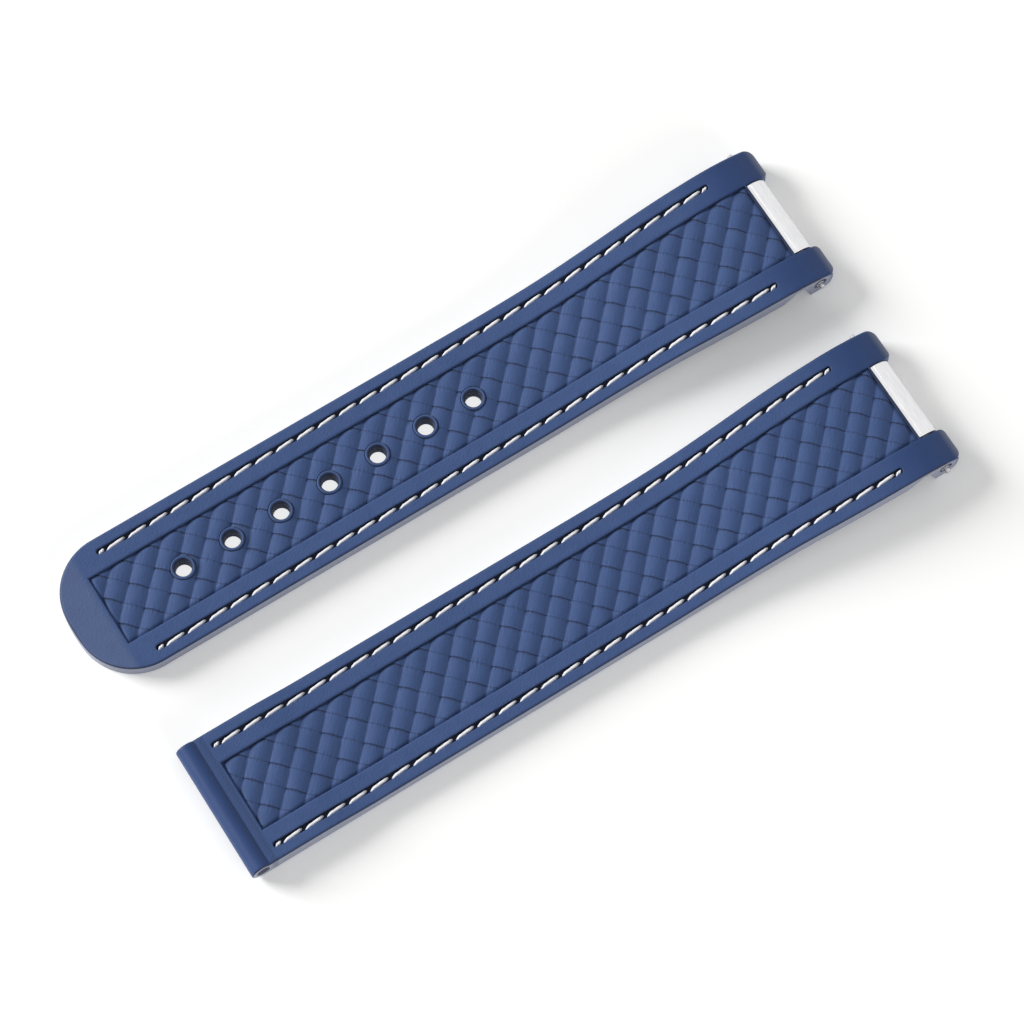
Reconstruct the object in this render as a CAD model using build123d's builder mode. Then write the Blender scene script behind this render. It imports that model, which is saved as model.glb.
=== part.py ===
"""Two-piece rubber dive strap laid flat: a strap with holes, a clasp strap, and their spring bars.

Millimetres. X runs along the straps to the watch end, Y across them, Z up. The hole strap lies on
the +Y side. The origin is under the middle of the pair, on the surface that they lie on.
"""
import math
import os

from build123d import *

# The pair as it lies
pair_spacing = 28.6        # between the two straps' centre lines
clasp_strap_lag = 0.6      # the clasp strap lies this much further from the watch end

# Plan of both straps, measured from the seat of the end link towards the tail
lug_width = 20.0           # across the horns, the gap of the watch case
strap_width = 18.0         # behind the taper
taper_run = 33.0           # length over which the sides draw in
horn_reach = 3.5           # the horns stand this far past the link's seat
horn_outer_round = 1.5
horn_inner_round = 0.6
horn_width = 4.4           # each horn, and each rail beside the panel at the watch end
rail_width = 4.1           # each rail behind the taper
panel_lip = 0.4            # thin wall between the panel and the end link
hole_panel_margin = 4.9    # from the panel to the tip of the tail
clasp_panel_margin = 2.4   # from the panel to the axis of the rolled bead
hole_strap_reach = 100.7   # from the link's seat to the tip of the tail
tail_end_radius = 20.0
tail_flat = 1.5            # the tail's corners begin to round this far from the centre line
clasp_bead_centre = 95.8   # from the link's seat to the axis of the rolled bead

# Side view of both straps
strap_thickness = 2.2
lug_top = 4.4              # highest point of the horns over the table
lug_thickness = 2.6
bend_start = 5.2           # the strap begins to come down here
bend_run = 37.0            # and lies flat after this run
bar_height = 2.2           # axis of the spring bar over the table
bar_forward = 1.0          # axis of the spring bar in front of the link's seat
nose_crown_back = 5.0      # the upper face begins to round down to the nose here, behind the seat
nose_flat = 0.12           # the horns' tips are cut flat by this much
boss_heel = 0.2            # flat foot of the boss under the horns ends here
notch_skin = 1.2           # rubber left over the flex notch
notch_near = 1.4
notch_far = 2.4
notch_foot = 4.4
swell_start = 80.0         # the clasp strap grows thicker from here towards its bead
swell_run = 8.0
swell_thickness = 2.7
bead_radius = 1.5
bead_bore_radius = 0.9
rim_bevel = 0.25           # where the upper face meets the sides

# Panel with its woven look: bands that run across it at a slant
panel_depth = 0.14         # crests of the bands below the rails
weave_along = 3.61         # from one valley to the next along the strap
weave_across = 3.77        # a valley climbs by this much over the same distance
hole_weave_start = 3.45    # from the link's seat to a valley on the centre line
clasp_weave_start = 3.63
valley_width = 1.3         # between two bands
valley_depth = 0.36

# Grooves and holes
groove_lug_inset = 2.1     # from the strap's side to the middle of the stitch groove, at the horns
groove_tail_inset = 1.8    # and behind the taper
groove_width = 0.8
groove_depth = 0.65
groove_start = 4.6
hole_groove_margin = 7.8   # from the end of the grooves to the tip of the tail
clasp_groove_margin = 2.9  # from the end of the grooves to the axis of the bead
back_groove_depth = 0.5
hole_count = 7
hole_margin = 15.38        # from the last adjustment hole to the tip of the tail
hole_pitch = 6.92
hole_radius = 1.05
ring_radius = 1.6
ring_sides = 24            # the ring's outer face is made of this many flats
ring_drop = 0.02           # the rings' tops below the rails

# Stitching
stitch_length = 2.2
stitch_width = 0.48
stitch_height = 0.42
stitch_pitch = 3.0
stitch_lead = 2.1          # from the end of the groove to the middle of the first stitch
stitch_slant = 8.0         # degrees, the needle holes are not quite in line with the groove
stitch_clearance = 0.02
knot_length = 0.7          # the short lock stitch at each end of a row on the face
knot_lead = 0.2            # from the end of the groove to its middle

# End link, seated between the horns
link_side_gap = 0.15
link_strip = 0.45          # polished strip along the strap
link_strip_drop = 0.5      # its top below the highest point of the horns
link_reach = 2.75
link_foot_gap = 0.5        # the link stays off the table by this much
link_foot_start = 0.3

# Spring bars
bar_radius = 0.9
bar_clearance = 0.05       # radial, in the rubber and in the end link
bar_inset = 0.7            # the tube ends this far inside the horn's face
bar_wall = 0.2
bar_cap = 0.4              # wall of the closed ends
stem_radius = 0.53         # the tip's stem fills the closed end and stops at the case
stem_clearance = 0.05
pivot_radius = 0.35        # the tip's end that sits in the case
pivot_proud = 0.65         # each pivot stands out of the horn by this much
plunger_length = 3.2
plunger_clearance = 0.05
plunger_seat = 0.02        # play of the plunger behind the cap
spring_turns = 7
spring_sides = 6           # straight runs of wire in one turn
spring_wire = 0.2
spring_play = 0.12         # between the coil and the tube's wall
spring_end_gap = 0.05

overrun = 2.0              # how far cutting shapes pass the faces that they cut

# Shares along a bend at which its arcs begin, bulge and end
bend_shares = (0.0, 0.25, 0.5, 0.75, 1.0)

# A face counts as an upper one if its normal climbs by this share
upward_share = 0.4

quarter_turn = 90
full_turn = 360

# Places that follow from the sizes above
tail_to_nose = hole_strap_reach + horn_reach
lug_x = tail_to_nose / 2 - horn_reach
half_spacing = pair_spacing / 2
slot_width = lug_width - 2 * horn_width
panel_tail_width = strap_width - 2 * rail_width
groove_lug_y = lug_width / 2 - groove_lug_inset
groove_tail_y = strap_width / 2 - groove_tail_inset
tail_corner_radius = strap_width / 2 - tail_flat
hole_first = hole_strap_reach - hole_margin - (hole_count - 1) * hole_pitch
bar_length = lug_width - 2 * bar_inset
link_top = lug_top - link_strip_drop
bar_bore_radius = bar_radius + bar_clearance
cap_bore_radius = stem_radius + stem_clearance
pivot_reach = lug_width / 2 + pivot_proud
under_lift = lug_top - lug_thickness
nose_reach = horn_reach + nose_flat
nose_run = nose_reach + nose_crown_back
nose_rise = lug_top - bar_height

# Steps of the upper faces, each with its start, run, height before it and height after it
hole_steps = ((bend_start, bend_run, lug_top, strap_thickness),)
clasp_steps = hole_steps + ((swell_start, swell_run, strap_thickness, swell_thickness),)


def bend_value(x, start, run, near, far):
    """Height at x of a soft step made of two equal arcs, level at both ends."""
    along = min(max(start - x, 0), run)
    rise = near - far
    radius = (run**2 + rise**2) / (4 * abs(rise))
    sign = math.copysign(1, rise)
    if along <= run / 2:
        return near - sign * (radius - math.sqrt(radius**2 - along**2))
    return far + sign * (radius - math.sqrt(radius**2 - (run - along) ** 2))


def bend_slope(x, start, run, near, far):
    """Angle in degrees of the same step at x, positive where it climbs towards the watch end."""
    along = min(max(start - x, 0), run)
    rise = near - far
    radius = (run**2 + rise**2) / (4 * abs(rise))
    sign = math.copysign(1, rise)
    return sign * math.degrees(math.asin(min(along, run - along) / radius))


def bend_arcs(start, run, near, far):
    """Draws the soft step as two arcs in the current line builder, from its near end to its far end."""
    xs = [start - run * share for share in bend_shares]
    points = [(x, bend_value(x, start, run, near, far)) for x in xs]
    ThreePointArc(*points[:3])
    ThreePointArc(*points[2:])


def side_arcs(lug_size, tail_size, shift):
    """One side of a plan outline: the taper's two arcs at half the given widths, moved out by shift."""
    bend_arcs(0, taper_run, lug_size / 2 + shift, tail_size / 2 + shift)


def groove_place(x):
    """Distance of the stitch groove from the centre line at x."""
    return bend_value(x, 0, taper_run, groove_lug_y, groove_tail_y)


def top_height(x, steps):
    """Height at x of an upper face with the given steps, in front of them the crown down to the nose."""
    if x > -nose_crown_back:
        return bar_height + nose_rise * math.sqrt(1 - ((x + nose_crown_back) / nose_run) ** 2)
    start, run, near, far = [step for step in steps if step is steps[0] or x < -step[0]][-1]
    return bend_value(x, -start, run, near, far)


def top_slope(x, steps):
    """Climb of the same face at x, behind the crown, in degrees."""
    start, run, near, far = [step for step in steps if step is steps[0] or x < -step[0]][-1]
    return bend_slope(x, -start, run, near, far)


def nose_arc(drop):
    """Draws the crown lowered by drop, from the tip of the nose back to the horns' highest point."""
    centre = (-nose_crown_back, bar_height - drop)
    EllipticalCenterArc(centre, nose_run, nose_rise, 0, arc_size=quarter_turn)
    Line((-nose_crown_back, lug_top - drop), (-bend_start, lug_top - drop))


def top_line(steps, drop, tail_x):
    """Draws an upper face lowered by drop, from the start of its bend to tail_x."""
    next_xs = [-step[0] for step in steps[1:]] + [tail_x]
    for (start, run, near, far), next_x in zip(steps, next_xs):
        bend_arcs(-start, run, near - drop, far - drop)
        Line((-start - run, far - drop), (next_x, far - drop))


def under_height(x):
    """Height of the strap's underside at x, behind the flex notch."""
    return bend_value(x, -bend_start, bend_run, under_lift, 0)


def strap_planes(strap_x, strap_y):
    """Plan and side planes of one strap, both with their origin on the seat of its end link."""
    origin = (strap_x, strap_y, 0)
    return Plane(origin), Plane(origin, x_dir=(1, 0, 0), z_dir=(0, -1, 0))


def under_slope(x):
    """Climb of the strap's underside at x, in degrees."""
    return bend_slope(x, -bend_start, bend_run, under_lift, 0)


def side_outline(steps, tail_x):
    """Draws the side view of a strap: its underside, the horns' nose, and the top back to tail_x."""
    heel = (-notch_foot, under_height(-notch_foot))
    notch_top = lug_top - notch_skin
    Line((tail_x, 0), (-bend_start - bend_run, 0))
    bend_arcs(-bend_start, bend_run, under_lift, 0)
    Polyline(
        (-bend_start, under_lift),
        heel,
        (-notch_far, notch_top),
        (-notch_near, notch_top),
        (-boss_heel, 0),
        (bar_forward, 0),
    )
    EllipticalCenterArc(
        (bar_forward, bar_height),
        nose_reach - bar_forward,
        bar_height,
        -quarter_turn,
        arc_size=quarter_turn,
    )
    nose_arc(0)
    top_line(steps, 0, tail_x)
    Line((tail_x, steps[-1][-1]), (tail_x, 0))


def skin_cutter(side, plan_strip, steps, drop, length):
    """The given plan shape, kept only where it lies above the strap's top face less drop."""
    far_x, far_height = -length - overrun, steps[-1][-1] - drop
    with BuildPart() as cutter:
        extrude(plan_strip, amount=lug_top + overrun)
        with BuildSketch(side):
            with BuildLine():
                nose_arc(drop)
                top_line(steps, drop, far_x)
                Polyline(
                    (far_x, far_height),
                    (far_x, lug_top + overrun),
                    (nose_reach, lug_top + overrun),
                    (nose_reach, bar_height - drop),
                )
            make_face()
        extrude(amount=lug_width, both=True, mode=Mode.INTERSECT)
    return cutter.part


def under_cutter(side, plan_strip, depth, length):
    """The given plan shape, kept only where it lies below the strap's underside plus depth."""
    with BuildPart() as cutter:
        extrude(plan_strip, amount=lug_top)
        extrude(plan_strip, amount=-overrun)
        with BuildSketch(side):
            with BuildLine():
                bend_arcs(-bend_start, bend_run, under_lift + depth, depth)
                Polyline(
                    (-bend_start - bend_run, depth),
                    (-length - overrun, depth),
                    (-length - overrun, -overrun),
                    (horn_reach, -overrun),
                    (horn_reach, under_lift + depth),
                    (-bend_start, under_lift + depth),
                )
            make_face()
        extrude(amount=lug_width, both=True, mode=Mode.INTERSECT)
    return cutter.part


def groove_strips(plan, groove_end):
    """Plan of the two stitch grooves, with round ends."""
    half = groove_width / 2
    start_x, start_y = -groove_start, groove_place(-groove_start)
    end_x, end_y = -groove_end, groove_tail_y
    with BuildSketch(plan) as strips:
        with BuildLine():
            for shift in (half, -half):
                side_arcs(2 * groove_lug_y, 2 * groove_tail_y, shift)
                Line((-taper_run, end_y + shift), (end_x, end_y + shift))
            Line((0, groove_lug_y + half), (0, groove_lug_y - half))
            ThreePointArc((end_x, end_y + half), (end_x - half, end_y), (end_x, end_y - half))
        make_face()
        with Locations((start_x + lug_width / 2, start_y)):
            Rectangle(lug_width, groove_lug_y, mode=Mode.SUBTRACT)
        with Locations((start_x, start_y)):
            Circle(half)
        mirror(about=Plane.XZ)
    return strips.sketch


def panel_field(plan, panel_end):
    """Plan of the recessed panel, from the thin lip to its far end."""
    tail_y = panel_tail_width / 2
    with BuildSketch(plan) as field:
        with BuildLine():
            side_arcs(slot_width, panel_tail_width, 0)
            Polyline((-taper_run, tail_y), (-panel_end, tail_y), (-panel_end, 0))
            Polyline((0, slot_width / 2), (0, 0), (-panel_end, 0))
        make_face()
        mirror(about=Plane.XZ)
        with Locations((0, 0)):
            Rectangle(panel_lip * 2, slot_width, mode=Mode.SUBTRACT)
    return field.sketch


def strap_outline(plan, tail_x):
    """Plan of a strap from its horns to tail_x, where it is cut square."""
    lug_y, strap_y = lug_width / 2, strap_width / 2
    with BuildSketch(plan) as outline:
        with BuildLine():
            side_arcs(lug_width, strap_width, 0)
            Polyline((-taper_run, strap_y), (tail_x, strap_y), (tail_x, 0))
            Polyline((0, lug_y), (horn_reach, lug_y), (horn_reach, 0), (tail_x, 0))
        make_face()
        mirror(about=Plane.XZ)
        with Locations((horn_reach, 0)):
            Rectangle(horn_reach * 2, slot_width, mode=Mode.SUBTRACT)
        corners = outline.vertices().group_by(Axis.X)[-1].sort_by(Axis.Y)
        fillet([corners[0], corners[-1]], horn_outer_round)
        corners = outline.vertices().group_by(Axis.X)[-1].sort_by(Axis.Y)
        fillet(corners[1:-1], horn_inner_round)
    return outline.sketch


def upper_rim(blank):
    """Edges where the strap's upper faces meet its sides."""
    tops = [face for face in blank.faces() if face.normal_at().Z > upward_share]
    edges = [edge for face in tops for edge in face.edges()]
    return [edge for edge in edges if sum(edge.is_same(other) for other in edges) == 1]


def weave_cutter(strap_x, strap_y, panel, steps, weave_start, panel_end):
    """The valleys between the panel's bands, kept inside its plan."""
    slant = math.hypot(weave_along, weave_across)
    along_share, across_share = weave_along / slant, weave_across / slant
    reach = slot_width / 2 * along_share / across_share
    planes = []
    for index in range(-2, int((panel_end - weave_start + slot_width / 2) / weave_along) + 1):
        x = -weave_start - index * weave_along
        near, far = min(x + reach, -panel_lip), max(x - reach, -panel_end)
        climb = (top_height(near, steps) - top_height(far, steps)) / (near - far)
        height = top_height(far, steps) + climb * (x - far)
        crossing = (strap_x + x, strap_y, height - panel_depth)
        valley_way = (along_share, across_share, along_share * climb)
        planes.append(Plane(crossing, x_dir=(-across_share, along_share, 0), z_dir=valley_way))
    with BuildPart() as cutter:
        with BuildSketch(*planes):
            Polygon(
                (0, -valley_depth),
                (valley_width, valley_depth),
                (-valley_width, valley_depth),
                align=None,
            )
        extrude(amount=slot_width, both=True)
        extrude(panel, amount=lug_top + overrun, mode=Mode.INTERSECT)
    return cutter.part


def stitch_plane(strap_x, strap_y, x, side_sign, height, climb, up):
    """Section plane through the middle of one stitch, turned by the needle's slant."""
    y = side_sign * groove_place(x)
    turn = side_sign * bend_slope(x, 0, taper_run, groove_lug_y, groove_tail_y)
    yaw, climb = math.radians(turn + stitch_slant), math.radians(climb)
    along = Vector(math.cos(yaw) * math.cos(climb), math.sin(yaw), math.cos(yaw) * math.sin(climb))
    out = Vector(-math.sin(climb) * up, 0, math.cos(climb) * up)
    return Plane((strap_x + x, strap_y + y, height), x_dir=out.cross(along), z_dir=along)


def stitch_row(strap_x, strap_y, side_sign, runs, height_at, slope_at, up):
    """A row of stitches in one groove: each run is a length of thread and the places it takes."""
    with BuildPart() as row:
        for length, places in runs:
            planes = [
                stitch_plane(strap_x, strap_y, x, side_sign, height_at(x), slope_at(x), up) for x in places
            ]
            with BuildSketch(*planes):
                Polygon((-stitch_width / 2, 0), (stitch_width / 2, 0), (0, stitch_height), align=None)
            extrude(amount=length / 2, both=True)
    return row.part


os.makedirs("parts", exist_ok=True)
straps = {
    "hole": (lug_x, half_spacing),
    "clasp": (lug_x - clasp_strap_lag, -half_spacing),
}

# Strap with the adjustment holes: rails, woven panel, rounded tail
hole_plan, hole_side = strap_planes(*straps["hole"])
hole_end_x = -hole_strap_reach - overrun
hole_panel_end = hole_strap_reach - hole_panel_margin
hole_groove_end = hole_strap_reach - hole_groove_margin
tail_corner_x = tail_end_radius - hole_strap_reach
tail_corner_x -= math.sqrt(tail_end_radius**2 - (strap_width / 2) ** 2)
hole_places = [(-hole_first - index * hole_pitch, 0) for index in range(hole_count)]

with BuildPart() as hole_strap:
    with BuildSketch(hole_side):
        with BuildLine():
            side_outline(hole_steps, hole_end_x)
        make_face()
    extrude(amount=lug_width, both=True)
    extrude(strap_outline(hole_plan, hole_end_x), amount=lug_top + overrun, mode=Mode.INTERSECT)
    with BuildSketch(hole_plan) as tail:
        with BuildLine():
            ThreePointArc(
                (tail_corner_x, strap_width / 2),
                (-hole_strap_reach, 0),
                (tail_corner_x, -strap_width / 2),
            )
            Polyline(
                (tail_corner_x, strap_width / 2),
                (-taper_run - overrun, strap_width / 2),
                (-taper_run - overrun, lug_width / 2 + overrun),
                (horn_reach + overrun, lug_width / 2 + overrun),
                (horn_reach + overrun, -lug_width / 2 - overrun),
                (-taper_run - overrun, -lug_width / 2 - overrun),
                (-taper_run - overrun, -strap_width / 2),
                (tail_corner_x, -strap_width / 2),
            )
        make_face()
        fillet(tail.vertices().group_by(Axis.X)[0], tail_corner_radius)
    extrude(amount=lug_top + overrun, mode=Mode.INTERSECT)
    chamfer(upper_rim(hole_strap.part), rim_bevel)
    panel = panel_field(hole_plan, hole_panel_end)
    grooves = groove_strips(hole_plan, hole_groove_end)
    add(skin_cutter(hole_side, panel, hole_steps, panel_depth, hole_strap_reach), mode=Mode.SUBTRACT)
    add(
        weave_cutter(*straps["hole"], panel, hole_steps, hole_weave_start, hole_panel_end),
        mode=Mode.SUBTRACT,
    )
    add(skin_cutter(hole_side, grooves, hole_steps, groove_depth, hole_strap_reach), mode=Mode.SUBTRACT)
    add(under_cutter(hole_side, grooves, back_groove_depth, hole_strap_reach), mode=Mode.SUBTRACT)
    with BuildSketch(hole_plan.offset(strap_thickness / 2)):
        with Locations(hole_places):
            RegularPolygon(ring_radius, ring_sides)
    extrude(amount=strap_thickness / 2 - ring_drop)
    with BuildSketch(hole_plan):
        with Locations(hole_places):
            Circle(hole_radius)
    extrude(amount=lug_top, mode=Mode.SUBTRACT)
    with BuildSketch(hole_side):
        with Locations((bar_forward, bar_height)):
            Circle(bar_bore_radius)
    extrude(amount=lug_width, both=True, mode=Mode.SUBTRACT)
hole_strap.part.label = "hole_strap"
export_step(hole_strap.part, "parts/hole_strap.step")

# Clasp strap: the same section, ending in a rolled bead that takes the clasp's own bar
clasp_plan, clasp_side = strap_planes(*straps["clasp"])
bead_reach = clasp_bead_centre + bead_radius
clasp_panel_end = clasp_bead_centre - clasp_panel_margin
clasp_groove_end = clasp_bead_centre - clasp_groove_margin

with BuildPart() as clasp_strap:
    with BuildSketch(clasp_side):
        with BuildLine():
            side_outline(clasp_steps, -clasp_bead_centre)
        make_face()
    extrude(amount=lug_width, both=True)
    clasp_outline = strap_outline(clasp_plan, -bead_reach - overrun)
    extrude(clasp_outline, amount=lug_top + overrun, mode=Mode.INTERSECT)
    chamfer(upper_rim(clasp_strap.part), rim_bevel)
    with BuildSketch(clasp_side):
        with Locations((-clasp_bead_centre, bead_radius)):
            Circle(bead_radius)
    extrude(amount=strap_width / 2, both=True)
    panel = panel_field(clasp_plan, clasp_panel_end)
    grooves = groove_strips(clasp_plan, clasp_groove_end)
    add(skin_cutter(clasp_side, panel, clasp_steps, panel_depth, bead_reach), mode=Mode.SUBTRACT)
    add(
        weave_cutter(*straps["clasp"], panel, clasp_steps, clasp_weave_start, clasp_panel_end),
        mode=Mode.SUBTRACT,
    )
    add(skin_cutter(clasp_side, grooves, clasp_steps, groove_depth, bead_reach), mode=Mode.SUBTRACT)
    add(under_cutter(clasp_side, grooves, back_groove_depth, bead_reach), mode=Mode.SUBTRACT)
    with BuildSketch(clasp_side):
        with Locations((bar_forward, bar_height)):
            Circle(bar_bore_radius)
        with Locations((-clasp_bead_centre, bead_radius)):
            Circle(bead_bore_radius)
    extrude(amount=lug_width, both=True, mode=Mode.SUBTRACT)
clasp_strap.part.label = "clasp_strap"
export_step(clasp_strap.part, "parts/clasp_strap.step")

# What each strap carries: end link, spring bar, and its four rows of stitches
tube_bore_radius = bar_radius - bar_wall
plunger_radius = tube_bore_radius - plunger_clearance
cap_inner = bar_length / 2 - bar_cap
plunger_out = cap_inner - plunger_seat
plunger_in = plunger_out - plunger_length
coil_radius = tube_bore_radius - spring_play - spring_wire / 2
coil_half = plunger_in - spring_end_gap - spring_wire / 2
coil_pitch = 2 * coil_half / spring_turns

extents = {"hole": (hole_steps, hole_groove_end), "clasp": (clasp_steps, clasp_groove_end)}

for name, (strap_x, strap_y) in straps.items():
    steps, groove_end = extents[name]
    plan, side = strap_planes(strap_x, strap_y)
    stitch_count = int((groove_end - groove_start - 2 * stitch_lead) / stitch_pitch) + 1
    stitch_xs = [-groove_start - stitch_lead - index * stitch_pitch for index in range(stitch_count)]
    knot_xs = [-groove_start - knot_lead, -groove_end + knot_lead]
    bar_centre = (strap_x + bar_forward, strap_y, bar_height)
    bar_plane = Plane(bar_centre, x_dir=(0, 1, 0), z_dir=(1, 0, 0))
    bar_axis = Axis(bar_centre, (0, 1, 0))

    with BuildPart() as end_link:
        with BuildSketch(side):
            with BuildLine():
                Polyline(
                    (link_foot_start, link_foot_gap),
                    (0, link_foot_gap + link_foot_start),
                    (0, link_top),
                    (link_strip, link_top),
                )
                EllipticalCenterArc(
                    (link_strip, bar_height),
                    link_reach - link_strip,
                    link_top - bar_height,
                    0,
                    arc_size=quarter_turn,
                )
                EllipticalCenterArc(
                    (bar_forward, bar_height),
                    link_reach - bar_forward,
                    bar_height - link_foot_gap,
                    -quarter_turn,
                    arc_size=quarter_turn,
                )
                Line((bar_forward, link_foot_gap), (link_foot_start, link_foot_gap))
            make_face()
            with Locations((bar_forward, bar_height)):
                Circle(bar_bore_radius, mode=Mode.SUBTRACT)
        extrude(amount=slot_width / 2 - link_side_gap, both=True)
    end_link.part.label = f"{name}_end_link"
    export_step(end_link.part, f"parts/{name}_end_link.step")

    with BuildPart() as bar_tube:
        with BuildSketch(bar_plane):
            with BuildLine():
                Polyline(
                    (-bar_length / 2, cap_bore_radius),
                    (-bar_length / 2, bar_radius),
                    (bar_length / 2, bar_radius),
                    (bar_length / 2, cap_bore_radius),
                    (cap_inner, cap_bore_radius),
                    (cap_inner, tube_bore_radius),
                    (-cap_inner, tube_bore_radius),
                    (-cap_inner, cap_bore_radius),
                    close=True,
                )
            make_face()
        revolve(axis=bar_axis)
    bar_tube.part.label = f"{name}_bar_tube"
    export_step(bar_tube.part, f"parts/{name}_bar_tube.step")

    coil_points = []
    for index in range(spring_turns * spring_sides + 1):
        angle = math.radians(full_turn * index / spring_sides)
        coil_y = -coil_half + 2 * coil_half * index / (spring_turns * spring_sides)
        coil_points.append(
            (
                bar_centre[0] + coil_radius * math.sin(angle),
                strap_y + coil_y,
                bar_height + coil_radius * math.cos(angle),
            )
        )
    with BuildPart() as bar_spring:
        with BuildLine() as coil:
            Polyline(*coil_points)
        with BuildSketch(Plane(coil.line @ 0, z_dir=coil.line % 0)):
            Rectangle(spring_wire, spring_wire)
        sweep(transition=Transition.RIGHT)
    bar_spring.part.label = f"{name}_bar_spring"
    export_step(bar_spring.part, f"parts/{name}_bar_spring.step")

    for end, sign in {"left": 1, "right": -1}.items():
        with BuildPart() as bar_tip:
            with BuildSketch(bar_plane):
                with BuildLine():
                    Polyline(
                        (sign * plunger_in, 0),
                        (sign * plunger_in, plunger_radius),
                        (sign * plunger_out, plunger_radius),
                        (sign * plunger_out, stem_radius),
                        (sign * lug_width / 2, stem_radius),
                        (sign * lug_width / 2, pivot_radius),
                        (sign * pivot_reach, pivot_radius),
                        (sign * pivot_reach, 0),
                        close=True,
                    )
                make_face()
            revolve(axis=bar_axis)
        bar_tip.part.label = f"{name}_bar_tip_{end}"
        export_step(bar_tip.part, f"parts/{name}_bar_tip_{end}.step")

        face_row = stitch_row(
            strap_x,
            strap_y,
            sign,
            ((stitch_length, stitch_xs), (knot_length, knot_xs)),
            lambda x: top_height(x, steps) - groove_depth + stitch_clearance,
            lambda x: top_slope(x, steps),
            1,
        )
        face_row.label = f"{name}_face_stitches_{end}"
        export_step(face_row, f"parts/{name}_face_stitches_{end}.step")

        back_row = stitch_row(
            strap_x,
            strap_y,
            sign,
            ((stitch_length, stitch_xs),),
            lambda x: under_height(x) + back_groove_depth - stitch_clearance,
            under_slope,
            -1,
        )
        back_row.label = f"{name}_back_stitches_{end}"
        export_step(back_row, f"parts/{name}_back_stitches_{end}.step")

print("gap between the spring's turns", round(coil_pitch - spring_wire, 3))
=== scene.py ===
import math
import bmesh
import bpy
import numpy as np
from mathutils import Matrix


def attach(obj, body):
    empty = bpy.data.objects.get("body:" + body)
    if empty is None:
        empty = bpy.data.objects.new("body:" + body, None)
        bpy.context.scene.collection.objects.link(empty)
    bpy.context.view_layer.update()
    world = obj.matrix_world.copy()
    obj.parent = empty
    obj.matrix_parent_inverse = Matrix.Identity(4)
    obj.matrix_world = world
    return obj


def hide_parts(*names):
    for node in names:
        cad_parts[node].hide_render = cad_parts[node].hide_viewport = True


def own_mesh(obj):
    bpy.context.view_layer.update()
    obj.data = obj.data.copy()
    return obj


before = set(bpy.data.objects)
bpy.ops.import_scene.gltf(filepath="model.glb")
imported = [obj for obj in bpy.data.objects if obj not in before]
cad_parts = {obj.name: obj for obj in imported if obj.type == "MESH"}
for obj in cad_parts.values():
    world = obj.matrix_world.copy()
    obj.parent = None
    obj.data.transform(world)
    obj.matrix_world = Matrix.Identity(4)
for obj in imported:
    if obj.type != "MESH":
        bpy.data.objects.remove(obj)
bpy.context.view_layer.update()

# Straps: two mouldings of matt navy silicone rubber, thick and curved at the watch end, thin and flat
# behind it. Each has a recess for the woven panel and a stitch groove along both sides, on both faces.
# The hole strap ends in a rounded tail, and the clasp strap is rolled round a bore for the clasp's bar.
mm = 0.001
seats = {"hole": (48.6, 14.3), "clasp": (48.0, -14.3)}
bar_x, bar_z, bar_bore = 1.0, 2.2, 0.95
lug_half, clasp_half, taper_run = 10.0, 9.0, 33
groove_lug_y, groove_clasp_y = 7.9, 7.2
panel_lug_y, panel_clasp_y = 5.6, 4.9
bend_start, bend_run, lug_top, lug_lift, strap_top = -5.2, 37, 4.4, 1.8, 2.2
crown_start, crown_reach, belly_reach = -5, 8.62, 2.62
notch_xs = [-4.4, -4.25, -2.5, -2.3, -1.5, -1.3, -0.25, -0.1]
swell_start, swell_run, swell_rise = -80, 8, 0.5
tail_reach = 100.7
corner_x, corner_y, corner_r = -93.11, 1.5, 7.5
tip_x, tip_r, tip_share, tip_joins_x = -80.7, 20, 0.99277, -100.555
roll_x, roll_top = -93.9, 2.7
bead_x, bead_r, bead_bore, crease_reach = -95.8, 1.5, 0.9, 0.9
horn_front, horn_slot, outer_corner, inner_corner, horn_bend = 3.5, 5.6, 1.0, 0.6, 0.6
panel_ends = {"hole": 95.8, "clasp": 93.4}
recess_end, recess_depth = -0.2, 0.66
groove_start, groove_end, groove_depth, back_depth = 4.6, 92.9, 0.65, 0.5
first_hole, hole_pitch, hole_r = -43.8, 6.92, 1.05
hole_xs = [first_hole - hole_pitch * step for step in range(7)]
face_round, back_round, seat_zone, far_inside = 0.3, 0.14, 0.3, 9.0
wall_lines = 5


def soft_step(x, start, run, near, far):
    """Height that goes from near to far over a run, as two equal arcs that are level at both ends."""
    along = np.clip(start - np.asarray(x, float), 0, run)
    rise = near - far
    radius = (run**2 + rise**2) / (4 * abs(rise))
    first = near - math.copysign(1, rise) * (radius - np.sqrt(radius**2 - along**2))
    second = far + math.copysign(1, rise) * (radius - np.sqrt(radius**2 - (run - along) ** 2))
    return np.where(along <= run / 2, first, second)


def crown_height(x):
    """Upper face over the horns: an ellipse whose middle is at the spring bar's height."""
    return bar_z + bar_z * np.sqrt(1 - ((x - crown_start) / crown_reach) ** 2)


def face_height(x, name):
    """Upper face: an ellipse down to the nose, and behind it a soft step down, and one up to the bead."""
    x = np.asarray(x, float)
    height = soft_step(x, bend_start, bend_run, lug_top, strap_top)
    if name == "clasp":
        height = height + soft_step(x, swell_start, swell_run, 0, swell_rise)
    return np.where(x > crown_start, crown_height(np.maximum(x, crown_start)), height)


def back_height(x):
    """Underside: level with the table, lifted towards the watch end, with the flex notch's straight cuts."""
    lifted = soft_step(x, bend_start, bend_run, lug_lift, 0)
    notch = np.interp(x, notch_xs, [lug_lift, 1.86, 3.14, 3.2, 3.2, 3.1, 0.12, 0])
    return np.where(np.asarray(x) > notch_xs[0], notch, lifted)


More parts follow.
